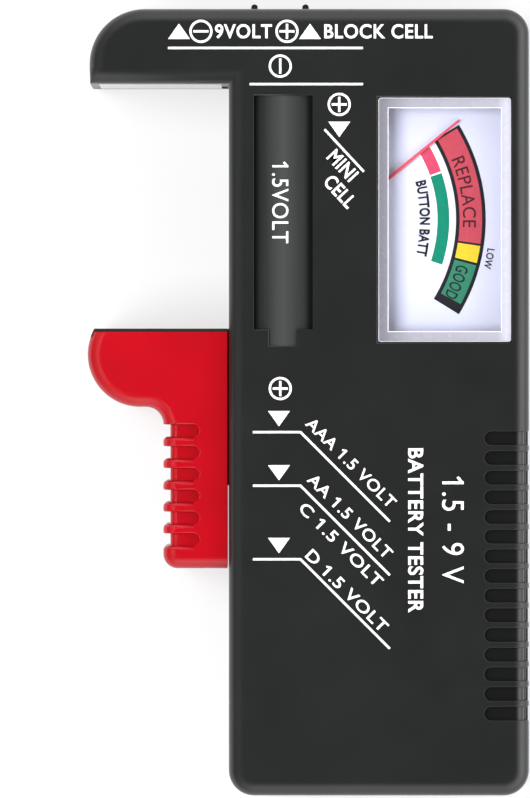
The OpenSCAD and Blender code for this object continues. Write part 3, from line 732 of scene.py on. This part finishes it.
class TESTER_OT_jaw(bpy.types.Operator):
    """Model the sliding jaw"""
    bl_idname = "tester.jaw"
    bl_label = "Sliding jaw"

    def execute(self, context):
        settings = context.scene.tester_jaw
        jaw = copy_of("slider_grip")
        combine(jaw, jaw_outside(settings), "INTERSECT")
        clean(jaw, 0.05)
        groove_top = PLATE_LOW.y - 9 * MM

        def rim_of(wall):
            """Picks the groove rims whose inner wall satisfies wall(normal)."""
            def wanted(edge):
                middle = (edge.verts[0].co + edge.verts[1].co) / 2
                return (middle.x < CASE_LEFT - 2 * MM and JAW_LOW.y + 2 * MM < middle.y < groove_top
                        and sharp_rim(edge, 35)
                        and any(wall(face.normal) and abs(face.normal.z) < 0.1 for face in edge.link_faces))
            return wanted

        bevel(jaw, rim_of(lambda n: n.y > 0.98), settings.slope, 5)
        bevel(jaw, rim_of(lambda n: n.y < 0.6 and n.x < 0.5), settings.lip, 2)
        smooth(jaw, 30)
        finish_piece(jaw, "jaw", "slider", "red_plastic", "slider_grip")
        wear(jaw, polished_plastic("red_abs", settings.colour))
        return {"FINISHED"}


class TESTER_OT_strips(bpy.types.Operator):
    """Model the contact strips of the jaw and the arm"""
    bl_idname = "tester.strips"
    bl_label = "Contact strips"

    def execute(self, context):
        lip = context.scene.tester_jaw.strip_lip
        nickel = metal("nickel", (0.62, 0.60, 0.58), 0.16, (1, 14, 14))
        for name, node, body in (("jaw_strip", "slider_contact_plate", "slider"),
                                 ("arm_strip", "arm_contact", "housing")):
            strip = copy_of(node)
            bevel(strip, lambda e: sharp_rim(e, 60) and e.calc_length() > 2 * lip, lip, 3)
            smooth(strip, 30)
            finish_piece(strip, name, body, "nickel_strip", node)
            wear(strip, nickel)
        return {"FINISHED"}


# ---- Flat printed shapes ----

def place(piece, name, centre, turn=0.0, size=(1, 1, 1)):
    """Sizes and turns a shape that was drawn about the origin, then moves it."""
    piece.scale = size
    piece.rotation_euler = (0, 0, turn)
    piece.location = centre
    return settle(piece, name)


def type_words(words, weight, solid):
    """Words as a mesh, flat or one unit thick, in letters made bolder by weight."""
    deselect()
    bpy.ops.object.text_add()
    text = bpy.context.object
    text.data.body = words
    text.data.offset = weight
    text.data.space_character = 1.08
    text.data.resolution_u = 5
    text.data.extrude = 0.5 if solid else 0
    bpy.ops.object.convert(target="MESH")
    return bpy.context.object


def flag(words, place_of_one, weight, solid):
    """Slanted stroke that makes the plain upright of a figure one into a 1."""
    measure = type_words(words[:place_of_one + 1], weight, solid)
    right = max(v.co.x for v in measure.data.vertices)
    top = max(v.co.y for v in measure.data.vertices)
    bpy.data.objects.remove(measure)
    thick = 0.085 + 2 * weight
    deselect()
    if solid:
        bpy.ops.mesh.primitive_cube_add(size=1)
    else:
        bpy.ops.mesh.primitive_plane_add(size=1)
    return place(bpy.context.object, "flag", (right - 0.155, top - 0.12, 0), math.radians(38),
                 (0.25, thick, 0.98))


def lettering(words, centre, length, height, turn, depth, weight=0.02, radius=0):
    """Words fitted to a length and a height, with their middle at the centre.

    The turn is in degrees. A depth of 0 keeps them flat, and a radius bends them round an arc.
    """
    flags = [flag(words, i, weight, depth) for i, letter in enumerate(words) if letter == "1"]
    text = join("text", [type_words(words, weight, depth), *flags])
    bpy.ops.object.origin_set(type="ORIGIN_GEOMETRY", center="BOUNDS")
    size = text.dimensions.copy()
    fit = (length / size.x, height / size.y, depth if depth else 1)
    place(text, "text", (0, 0, 0), 0, fit)
    if radius:
        modify(text, "SIMPLE_DEFORM", deform_method="BEND", deform_axis="Z", angle=-length / radius)
    return place(text, "text", centre, math.radians(turn))


def stroke(start, end, width, depth):
    """Straight line with square ends."""
    start, end = Vector(start), Vector(end)
    run = end - start
    deselect()
    bpy.ops.mesh.primitive_cube_add(size=1)
    return place(bpy.context.object, "stroke", (start + end) / 2, math.atan2(run.y, run.x),
                 (run.length, width, depth))


def triangle(centre, width, height, depth, down=False):
    """Filled triangle, its base flat and its point up, or down."""
    deselect()
    bpy.ops.mesh.primitive_cylinder_add(vertices=3, radius=1, depth=1)
    piece = settle(bpy.context.object, "triangle")
    bpy.ops.object.origin_set(type="ORIGIN_GEOMETRY", center="BOUNDS")
    size = piece.dimensions
    return place(piece, "triangle", centre, math.pi if down else 0,
                 (width / size.x, height / size.y, depth))


def band(centre, inner, outer, start, sweep, depth):
    """Flat arc spun anticlockwise from its start angle, in degrees; a full turn makes a ring."""
    deselect()
    bpy.ops.mesh.primitive_plane_add(
        size=1, location=((inner + outer) / 2, 0, 0), rotation=(math.pi / 2, 0, 0))
    bpy.context.object.scale = (outer - inner, depth, 1)
    piece = settle(bpy.context.object, "band")
    bpy.ops.object.mode_set(mode="EDIT")
    bpy.ops.mesh.select_all(action="SELECT")
    if sweep >= 360:
        bpy.ops.mesh.delete(type="ONLY_FACE")
        bpy.ops.mesh.select_all(action="SELECT")
    bpy.ops.mesh.spin(steps=max(6, math.ceil(sweep / 2.5)), angle=-math.radians(sweep),
                      center=(0, 0, 0), axis=Z)
    bpy.ops.mesh.select_all(action="SELECT")
    bpy.ops.mesh.remove_doubles(threshold=0.0005 * MM)
    bpy.ops.mesh.normals_make_consistent(inside=False)
    done()
    return place(piece, "band", centre, math.radians(start))


def sign(centre, radius, width, depth, bars):
    """Ring with bars across it, each given by its turn in degrees."""
    pieces = [band(centre, radius - width, radius, 0, 360, depth)]
    reach = (radius - width) * 0.82
    for level, turn in enumerate(bars):
        along = Vector((math.cos(math.radians(turn)), math.sin(math.radians(turn)), 0)) * reach
        pieces.append(stroke(centre - along, centre + along, width, depth * (1 - level / 8)))
    return pieces


def printed(name, pieces, material):
    """Joins printed shapes of one ink into a piece that rides on the housing."""
    piece = join(name, pieces)
    finish_piece(piece, name, "housing", "dial_card")
    return wear(piece, material)


# ---- Printing on the face ----

MINUS, BAR, PLUS = (0,), (90,), (0, 90)
ALONG, SLANTED, DOWNWARDS = 0, -45, -90


class TESTER_OT_face_print(bpy.types.Operator):
    """Print the signs, lines and words on the face"""
    bl_idname = "tester.face_print"
    bl_label = "Face printing"

    def execute(self, context):
        settings = context.scene.tester_print
        skin = context.scene.tester_case.skin
        depth = 1.6 * skin
        line, ring, capital = settings.line, settings.sign, settings.capital
        mark_wide, mark_high = 3.04 * MM, 2.13 * MM

        def at(x, y):
            return Vector((x * MM, y * MM, FACE_Z - depth / 2))

        top = CASE_HIGH.y / MM - 3.2
        cell = -3.86
        small_capital = 1.65 * MM
        inks = [
            triangle(at(-17.87, top), mark_wide, mark_high, depth),
            *sign(at(-14.83, top), ring, line, depth, MINUS),
            lettering("9VOLT", at(-8.95, top), 7.88 * MM, capital, ALONG, depth),
            *sign(at(-2.93, top), ring, line, depth, PLUS),
            triangle(at(0.25, top), mark_wide, mark_high, depth),
            lettering("BLOCK CELL", at(9.72, top), 15.0 * MM, capital, ALONG, depth),
            stroke(at(-19.39, top - 2.3), at(7.58, top - 2.3), line, depth),
            *sign(at(cell, 46.04), ring, line, depth, BAR),
            stroke(at(-8.09, 43.55), at(7.58, 43.55), line, depth),
            *sign(at(4.3, 40.74), ring, line, depth, PLUS),
            triangle(at(4.3, 37.29), mark_wide, mark_high, depth, down=True),
            stroke(at(2.27, 37.29), at(7.7, 31.44), line, depth),
            lettering("MINI", at(4.76, 32.3), 4.6 * MM, capital, -47, depth),
            lettering("CELL", at(4.4, 28.7), 5.0 * MM, capital, -47, depth),
            *sign(at(cell, 1.45), ring, line, depth, PLUS),
            lettering("BATTERY TESTER", at(14.87, -18.19), 22.75 * MM, 2.13 * MM, DOWNWARDS, depth,
                      0.022),
            lettering("1.5 - 9 V", at(20.03, -18.09), 14.8 * MM, 3.04 * MM, DOWNWARDS, depth, 0),
        ]
        for y in (-2.72, -10.21, -20.27):
            inks.append(triangle(at(-4.04, y), mark_wide, mark_high, depth, down=True))
        for y in (-4.58, -11.99, -22.16):
            inks.append(stroke(at(-7.65, y), at(-0.95, y), line, depth))
            inks.append(stroke(at(-1.06, y), at(11.29, y - 12.37), line, depth * 0.9))
        for words, x, y, length in (
                ("AAA 1.5 VOLT", 5.93, -8.81, 16.5), ("AA 1.5 VOLT", 5.79, -16.21, 15.5),
                ("C 1.5 VOLT", 4.55, -20.15, 15.3), ("D 1.5 VOLT", 5.38, -26.55, 15.0)):
            inks.append(lettering(words, at(x, y), length * MM, small_capital, SLANTED, depth, 0.012))
        white = ink("white_ink", settings.white, 0.45, 0.03)
        printed("face_print", inks, white)
        words = lettering("1.5VOLT", at(cell, 27.2), 11.3 * MM, 2.3 * MM, DOWNWARDS, 0, 0.005)
        self.lay_on_crown(words, skin)
        printed("cell_print", [words], white)
        return {"FINISHED"}

    @staticmethod
    def lay_on_crown(words, skin):
        """Lays flat words on the crowned floor of the cell outline and gives them their thickness."""
        low = min(v.co.x for v in words.data.vertices)
        high = max(v.co.x for v in words.data.vertices)
        parts = 8
        for part in range(1, parts):
            select_faces(words, lambda face: True)
            bpy.ops.mesh.bisect(plane_co=(low + (high - low) * part / parts, 0, 0), plane_no=X)
            done()
        modify(words, "SHRINKWRAP", target=bpy.data.objects["front_shell"], wrap_method="PROJECT",
               use_project_z=True, use_negative_direction=True, use_positive_direction=False,
               offset=skin, project_limit=3 * MM)
        modify(words, "SOLIDIFY", thickness=skin, offset=-1)


# ---- Printing on the dial ----

class TESTER_OT_dial_print(bpy.types.Operator):
    """Print the scales and words on the dial"""
    bl_idname = "tester.dial_print"
    bl_label = "Dial printing"

    def execute(self, context):
        settings = context.scene.tester_meter
        layer = 0.02 * MM
        rule = 0.5 * MM

        def scale(inner, outer, start, end, level=1):
            centre = SCALE_CENTRE + Z * layer * level / 2
            return band(centre, inner, outer, start, end - start, layer * level)

        def words(text, radius, angle, length, height, weight=0.02, slack=1):
            turn = math.radians(angle)
            centre = SCALE_CENTRE + Vector((math.cos(turn), math.sin(turn), 0)) * radius + Z * layer * 1.5
            return lettering(text, centre, length * MM, height * MM, angle - 90, 3 * layer, weight,
                             radius * slack)

        inner, outer = settings.band_inner, settings.band_outer
        in_band = (inner + outer) / 2 - 0.2 * MM
        low, high = settings.button_inner, settings.button_outer
        black = ink("black_ink", (0.012, 0.012, 0.014), 0.5)
        printed("scale_rules", [
            scale(inner, outer, -31.6, 31.6),
            words("LOW", outer + 1.05 * MM, -12.0, 2.8, 1.05, 0.02),
            words("BUTTON BATT", low - 1.75 * MM, 0.6, 10.5, 1.5, 0.035, 1.5),
            words("GOOD", in_band, -22.4, 4.8, 1.75, 0.01),
        ], black)
        margin = 0.22 * MM
        printed("scale_margin", [scale(low - margin, high + margin, -18.9, 30.9)],
                ink("white_margin", (0.86, 0.86, 0.9), 0.5, 0.01))
        inside, outside = inner + rule, outer - rule
        for name, near_side, far_side, start, end, colour in (
                ("scale_red", inside, outside, -7.9, 30.9, settings.red),
                ("scale_yellow", inside, outside, -14.2, -8.6, settings.yellow),
                ("scale_green", inside, outside, -28.5, -15.0, settings.green),
                ("button_red", low, high, 19.5, 30.3, settings.button_red),
                ("button_green", low, high, -18.2, 18.8, settings.button_green)):
            printed(name, [scale(near_side, far_side, start, end, 2)], ink(name, colour))
        printed("scale_words", [words("REPLACE", in_band, 9.7, 9.9, 1.85, 0.005)],
                ink("brown_ink", (0.06, 0.012, 0.016), 0.5))
        return {"FINISHED"}


# ---- Spring of the jaw ----

class TESTER_OT_spring(bpy.types.Operator):
    """Model the jaw's spring, which runs from the jaw to its anchor in the case"""
    bl_idname = "tester.spring"
    bl_label = "Jaw spring"

    def execute(self, context):
        spring = smooth(copy_of("slider_spring"), 60)
        spring.name = spring.data.name = "jaw_spring"
        wear(spring, metal("spring_steel", (0.62, 0.62, 0.64), 0.3))
        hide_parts("slider_spring")
        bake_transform(spring)
        return {"FINISHED"}


# ---- Meter lens ----

class TESTER_OT_lens(bpy.types.Operator):
    """Model the clear cover of the meter"""
    bl_idname = "tester.lens"
    bl_label = "Meter lens"

    def execute(self, context):
        settings = context.scene.tester_meter
        lens = copy_of("meter_cover")
        line = settings.lens_edge
        bevel(lens, lambda e: level_at(e, GLASS_TOP) and sharp_rim(e), line, 3)
        pane = [v.co for v in lens.data.vertices if near(v.co.z, GLASS_TOP, 0.01 * MM)]
        low = Vector((min(v.x for v in pane), min(v.y for v in pane), 0)) - X * line / 2
        high = Vector((max(v.x for v in pane), max(v.y for v in pane), 0)) + X * line / 2
        wear(lens, clear_plastic("clear_acrylic", settings.haze))
        # The rim gets painted shade on the jaw's side and a painted highlight on the far side
        lens.data.materials.append(shaded_lens_rim("shaded_lens_rim", settings.rim, low.x, high.x))
        # Painted highlight: thin light grey lines along the lens's rounded top edge and round the inside of
        # its rim
        lens.data.materials.append(ink("lens_edge_highlight", (0.62, 0.62, 0.66), 0.2, 0.01))
        inner = settings.rim_width
        for inset in (inner, inner + line):
            for cut, normal in ((low.x + inset, X), (high.x - inset, X),
                                (low.y + inset, Y), (high.y - inset, Y)):
                select_faces(
                    lens, lambda f: f.normal.z > 0.99 and near(f.calc_center_median().z, GLASS_TOP))
                bpy.ops.mesh.bisect(plane_co=normal * cut, plane_no=normal)
                done()
        # Faces at the edges take the painted highlight lines, and faces over the rim take the shaded rim
        # colour
        for face in lens.data.polygons:
            middle = face.center
            if near(middle.z, GLASS_TOP, 0.2 * MM) and face.normal.z > 0.2:
                depth = min(middle.x - low.x, high.x - middle.x, middle.y - low.y, high.y - middle.y)
                if depth < 1.2 * line or inner < depth < inner + line:
                    face.material_index = 2
                elif depth < inner:
                    face.material_index = 1
        smooth(lens, 30)
        finish_piece(lens, "lens", "housing", "clear_plastic", "meter_cover")
        return {"FINISHED"}


# ---- Frame nodes that stay as they are ----

class TESTER_OT_finishes(bpy.types.Operator):
    """Give the frame's own nodes their finishes"""
    bl_idname = "tester.finishes"
    bl_label = "Finishes"

    def execute(self, context):
        blade = metal("dull_nickel", (0.16, 0.155, 0.15), 0.32)
        steel = metal("zinc_steel", (0.62, 0.62, 0.64), 0.3)
        brass = metal("brass", (0.78, 0.56, 0.24), 0.27)
        iron = metal("soft_iron", (0.3, 0.3, 0.31), 0.42)
        finishes = {
            blade: ("nine_volt_contact_negative", "nine_volt_contact_positive"),
            steel: ("case_screws", "meter_screws", "board_screws", "coil_pivots"),
            brass: ("slider_wiper", "contact_rail", "meter_terminals", "lower_bearing", "bearing_bridge",
                    "bridge_bearing", "hairspring"),
            iron: ("yoke_ring", "core_magnet"),
            metal("copper_winding", (0.66, 0.28, 0.13), 0.35, (1, 1, 30)): ("moving_coil",),
            metal("rolled_aluminium", (0.8, 0.8, 0.82), 0.3): ("coil_former",),
            moulded_plastic("meter_plastic", (0.02, 0.02, 0.022), 0.45): ("meter_case",),
            ink("dial_paint", context.scene.tester_meter.card, 0.55, 0.015): ("dial_plate",),
            ink("pointer_paint", (0.62, 0.08, 0.11), 0.4): ("pointer",),
            moulded_plastic("solder_mask", (0.03, 0.17, 0.07), 0.3): ("circuit_board",),
            ink("resistor_tan", (0.55, 0.38, 0.2), 0.3): ("resistor_small_cells", "resistor_nine_volt"),
            ink("resistor_blue", (0.16, 0.32, 0.5), 0.3): ("resistor_round_cells",),
            moulded_plastic("black_insulation", (0.02, 0.02, 0.02), 0.4): (
                "wire_arm_contact", "wire_nine_volt_negative"),
            moulded_plastic("red_insulation", (0.5, 0.02, 0.02), 0.4): (
                "wire_nine_volt_positive", "wire_contact_rail"),
            moulded_plastic("yellow_insulation", (0.7, 0.5, 0.04), 0.4): ("wire_meter_positive",),
            moulded_plastic("blue_insulation", (0.03, 0.1, 0.45), 0.4): ("wire_meter_negative",),
        }
        for material, names in finishes.items():
            for name in names:
                wear(NODES[name], material)
        return {"FINISHED"}


# ---- Stage ----

# Light of the tent at each height of its direction, from level to straight above
TENT = ((0, 1.0), (0.55, 1.0), (0.78, 0.5), (0.92, 0.08), (1, 0.03))

# Factor on the tent's light at the jaw's side and at the far side
TENT_SIDES = 0.15, 1.9

# Softboxes: name, azimuth and elevation in degrees, size, power
SOFTBOXES = (
    ("right_softbox", 0, 38, (0.9, 0.5), 3.4),
    ("low_softbox", -90, 42, (0.9, 0.45), 2.0),
    ("high_softbox", 90, 42, (0.9, 0.45), 2.0),
    ("left_softbox", 180, 50, (0.8, 0.4), 0.3),
    ("meter_softbox", 182, 66, (0.5, 0.4), 34.0),
)


def area_light(name, place, aim, size, power):
    deselect()
    bpy.ops.object.light_add(type="AREA", location=place)
    light = bpy.context.object
    light.name = name
    light.data.shape = "RECTANGLE"
    light.data.size, light.data.size_y = size
    light.data.energy = power
    light.rotation_euler = (Vector(aim) - Vector(place)).to_track_quat("-Z", "Y").to_euler()
    return light


class TESTER_OT_stage(bpy.types.Operator):
    """Set up the floor, the lights and the camera"""
    bl_idname = "tester.stage"
    bl_label = "Stage"

    def execute(self, context):
        settings = context.scene.tester_stage
        scene = context.scene
        scene.view_settings.view_transform = "Standard"
        deselect()
        bpy.ops.mesh.primitive_plane_add(size=3, location=(0, 0, -0.05 * MM))
        floor = bpy.context.object
        floor.name = "floor"
        s = Shader("pale_floor")
        s.set(Base_Color=s.ramp(s.noise(4, 2), [(0.3, (0.30, 0.30, 0.305)), (0.7, (0.315, 0.315, 0.315))]))
        s.surface.inputs["Roughness"].default_value = 0.95
        s.surface.inputs["Specular IOR Level"].default_value = 0.1
        s.surface.inputs["Emission Color"].default_value = (1, 1, 1, 1)
        s.surface.inputs["Emission Strength"].default_value = settings.glow
        wear(floor, s.material)
        scene.world = self.light_tent(settings.sky)
        for name, azimuth, elevation, size, power in SOFTBOXES:
            around, up = math.radians(azimuth), math.radians(elevation)
            away = Vector((math.cos(around) * math.cos(up), math.sin(around) * math.cos(up), math.sin(up)))
            light = area_light(name, away * settings.light_reach, (0, 0, FACE_Z / 2), size,
                               power * settings.light)
            light.visible_glossy = name != "meter_softbox"
        bpy.ops.object.camera_add()
        camera = bpy.context.object
        camera.name = "camera"
        camera.data.lens = settings.focal
        camera.data.sensor_width = 36
        height = settings.frame_height * settings.focal / camera.data.sensor_width
        camera.location = (settings.aim_x, 0, FACE_Z + height)
        camera.rotation_euler = (0, 0, 0)
        camera.data.clip_start, camera.data.clip_end = 0.01, 10
        scene.camera = camera
        return {"FINISHED"}

    @staticmethod
    def light_tent(strength):
        """World that is bright at the level and dark above, and brighter on the right."""
        world = bpy.data.worlds.new("studio")
        world.use_nodes = True
        nodes, links = world.node_tree.nodes, world.node_tree.links
        direction = nodes.new("ShaderNodeSeparateXYZ")
        links.new(nodes.new("ShaderNodeTexCoord").outputs["Generated"], direction.inputs[0])
        height = nodes.new("ShaderNodeValToRGB")
        ends = height.color_ramp.elements
        while len(ends) < len(TENT):
            ends.new(0.5)
        for end, (rise, light) in zip(ends, TENT):
            end.position, end.color = rise, (light, light, light, 1)
        links.new(direction.outputs["Z"], height.inputs[0])
        side = nodes.new("ShaderNodeMapRange")
        side.inputs["From Min"].default_value = -1
        side.inputs["To Min"].default_value = strength * TENT_SIDES[0]
        side.inputs["To Max"].default_value = strength * TENT_SIDES[1]
        links.new(direction.outputs["X"], side.inputs["Value"])
        links.new(height.outputs[0], nodes["Background"].inputs["Color"])
        links.new(side.outputs[0], nodes["Background"].inputs["Strength"])
        return world


# ---- Panel and registration ----

class TESTER_PT_panel(bpy.types.Panel):
    """Operators of the battery tester"""
    bl_idname = "TESTER_PT_panel"
    bl_label = "Battery tester"
    bl_space_type = "VIEW_3D"
    bl_region_type = "UI"
    bl_category = "Tester"

    def draw(self, context):
        for operator in OPERATORS:
            self.layout.operator(operator.bl_idname)


SETTINGS = {
    "tester_case": CaseSettings,
    "tester_jaw": JawSettings,
    "tester_meter": MeterSettings,
    "tester_print": PrintSettings,
    "tester_stage": StageSettings,
}
OPERATORS = (
    TESTER_OT_case, TESTER_OT_jaw, TESTER_OT_strips, TESTER_OT_spring, TESTER_OT_lens, TESTER_OT_face_print,
    TESTER_OT_dial_print, TESTER_OT_finishes, TESTER_OT_stage)
CLASSES = (*SETTINGS.values(), *OPERATORS, TESTER_PT_panel)


def register():
    for cls in CLASSES:
        bpy.utils.register_class(cls)
    for name, group in SETTINGS.items():
        setattr(bpy.types.Scene, name, PointerProperty(type=group))


def unregister():
    for name in SETTINGS:
        delattr(bpy.types.Scene, name)
    for cls in reversed(CLASSES):
        bpy.utils.unregister_class(cls)


def main():
    register()
    for operator in OPERATORS:
        group, call = operator.bl_idname.split(".")
        getattr(getattr(bpy.ops, group), call)()


if __name__ == "__main__":
    main()
